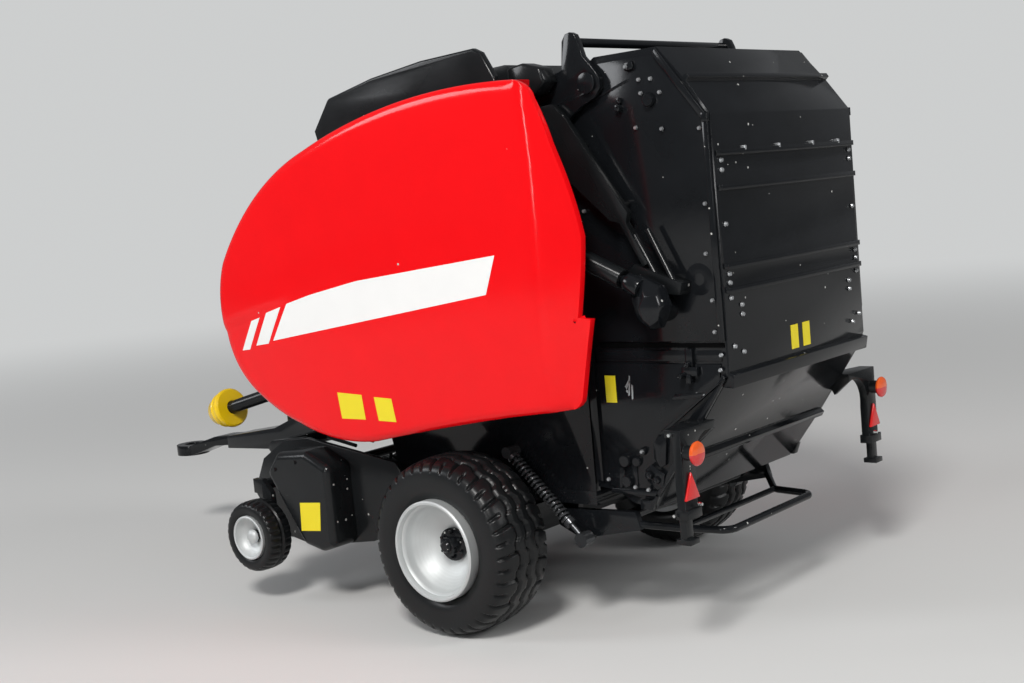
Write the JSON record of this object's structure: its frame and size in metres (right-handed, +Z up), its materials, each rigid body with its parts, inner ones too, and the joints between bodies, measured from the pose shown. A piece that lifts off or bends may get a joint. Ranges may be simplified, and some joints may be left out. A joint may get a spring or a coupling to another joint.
{
  "type": "round baler",
  "caption": "Scale model of a round baler with an opening tailgate, a lowering pickup with a tined reel, turning wheels and a drawbar with a tow eye.",
  "frame": {"origin": "on the ground, under the middle of the model's length and width", "axes": "+X is the direction of travel, +Y the model's left side, +Z up"},
  "size_m": [0.1611, 0.076, 0.0932],
  "materials": {
    "black_paint": "glossy black enamel on die-cast metal, with dust specks",
    "black_plastic": "glossy black moulded plastic",
    "dark_plastic": "dark moulded plastic",
    "red_paint": "glossy red enamel",
    "silver_paint": "silver paint, satin",
    "tyre_rubber": "soft black toy tyre, matt",
    "yellow_plastic": "yellow moulded plastic",
    "lamp_lens": "orange and red painted lamp",
    "reflector_red": "red reflector",
    "bright_rod": "bright cylinder rod"
  },
  "bodies": {
    "chassis": {"main_frame": "black_paint", "axle": "black_paint", "drawbar": "black_paint", "tow_eye": "black_paint", "jack_sleeve": "black_paint", "gearbox": "black_paint", "driveline_shaft": "dark_plastic", "driveline_guard": "yellow_plastic", "chamber_front": "black_paint", "chamber_rollers": "black_paint", "hood": "black_plastic", "top_bar": "black_paint", "chamber_wall_left": "black_paint", "chamber_wall_right": "black_paint", "side_panel_left": "red_paint", "side_panel_right": "red_paint", "valve_box_left": "black_plastic", "valve_box_right": "black_plastic", "hood_side_left": "black_plastic", "hood_side_right": "black_plastic", "ramp_spring_left": "black_plastic", "ramp_spring_right": "black_plastic"},
    "tailgate": {"tailgate_shell": "black_paint", "tension_arm_left": "black_plastic", "tension_arm_right": "black_plastic", "light_bracket_left": "black_plastic", "light_bracket_right": "black_plastic", "tail_lamp_left": "lamp_lens", "tail_lamp_right": "lamp_lens", "reflector_left": "reflector_red", "reflector_right": "reflector_red"},
    "pickup": {"pickup_frame": "black_plastic", "wind_guard": "black_plastic", "pickup_cover_left": "black_plastic", "pickup_cover_right": "black_plastic", "gauge_arm_left": "black_plastic", "gauge_arm_right": "black_plastic"},
    "reel": {"pickup_reel": "black_plastic"},
    "ramp": {"ramp_frame": "black_paint"},
    "jack_leg": {"jack_leg": "black_paint"},
    "lift_barrel_left": {"lift_barrel_left": "black_plastic"},
    "lift_rod_left": {"lift_rod_left": "bright_rod"},
    "main_wheel_left": {"main_tyre_left": "tyre_rubber", "main_rim_left": "silver_paint"},
    "gauge_wheel_left": {"gauge_tyre_left": "tyre_rubber", "gauge_rim_left": "silver_paint"},
    "lift_barrel_right": {"lift_barrel_right": "black_plastic"},
    "lift_rod_right": {"lift_rod_right": "bright_rod"},
    "main_wheel_right": {"main_tyre_right": "tyre_rubber", "main_rim_right": "silver_paint"},
    "gauge_wheel_right": {"gauge_tyre_right": "tyre_rubber", "gauge_rim_right": "silver_paint"}
  },
  "joints": [
    {"name": "main_wheel_left_spin", "type": "hinge", "parent": "chassis", "child": "main_wheel_left", "pos_m": [-0.0326, 0.0312, 0.0146], "axis": [0, 1, 0], "continuous": true},
    {"name": "main_wheel_right_spin", "type": "hinge", "parent": "chassis", "child": "main_wheel_right", "pos_m": [-0.0326, -0.0312, 0.0146], "axis": [0, 1, 0], "continuous": true},
    {"name": "tailgate_hinge", "type": "hinge", "parent": "chassis", "child": "tailgate", "pos_m": [-0.0596, 0, 0.0853], "axis": [0, 1, 0], "range_deg": [0, 60]},
    {"name": "lift_barrel_left_pivot", "type": "hinge", "parent": "chassis", "child": "lift_barrel_left", "pos_m": [-0.0326, 0.027, 0.0715], "axis": [0, 1, 0], "range_deg": [0, 32.68]},
    {"name": "lift_rod_left_slide", "type": "slide", "parent": "lift_barrel_left", "child": "lift_rod_left", "axis": [-0.9085, 0, -0.4178], "range_m": [0, 0.01955]},
    {"name": "lift_barrel_right_pivot", "type": "hinge", "parent": "chassis", "child": "lift_barrel_right", "pos_m": [-0.0326, -0.027, 0.0715], "axis": [0, 1, 0], "range_deg": [0, 32.68]},
    {"name": "lift_rod_right_slide", "type": "slide", "parent": "lift_barrel_right", "child": "lift_rod_right", "axis": [-0.9085, 0, -0.4178], "range_m": [0, 0.01955]},
    {"name": "ramp_hinge", "type": "hinge", "parent": "chassis", "child": "ramp", "pos_m": [-0.0461, 0, 0.0174], "axis": [0, 1, 0], "range_deg": [-10, 5]},
    {"name": "pickup_hinge", "type": "hinge", "parent": "chassis", "child": "pickup", "pos_m": [-0.0166, 0, 0.0209], "axis": [0, 1, 0], "range_deg": [0, 11]},
    {"name": "reel_spin", "type": "hinge", "parent": "pickup", "child": "reel", "pos_m": [0.0054, 0, 0.017], "axis": [0, 1, 0], "continuous": true},
    {"name": "gauge_wheel_left_spin", "type": "hinge", "parent": "pickup", "child": "gauge_wheel_left", "pos_m": [0.0143, 0.0343, 0.0125], "axis": [0, 1, 0], "continuous": true},
    {"name": "gauge_wheel_right_spin", "type": "hinge", "parent": "pickup", "child": "gauge_wheel_right", "pos_m": [0.0143, -0.0343, 0.0125], "axis": [0, 1, 0], "continuous": true},
    {"name": "jack_slide", "type": "slide", "parent": "chassis", "child": "jack_leg", "axis": [0, 0, 1], "range_m": [0, 0.01]}
  ],
  "couplings": [
    {"joint": "lift_barrel_left_pivot", "follows": "tailgate_hinge", "ratio": 0.5447},
    {"joint": "lift_rod_left_slide", "follows": "tailgate_hinge", "m_per_rad": 0.018665},
    {"joint": "lift_barrel_right_pivot", "follows": "tailgate_hinge", "ratio": 0.5447},
    {"joint": "lift_rod_right_slide", "follows": "tailgate_hinge", "m_per_rad": 0.018665}
  ]
}
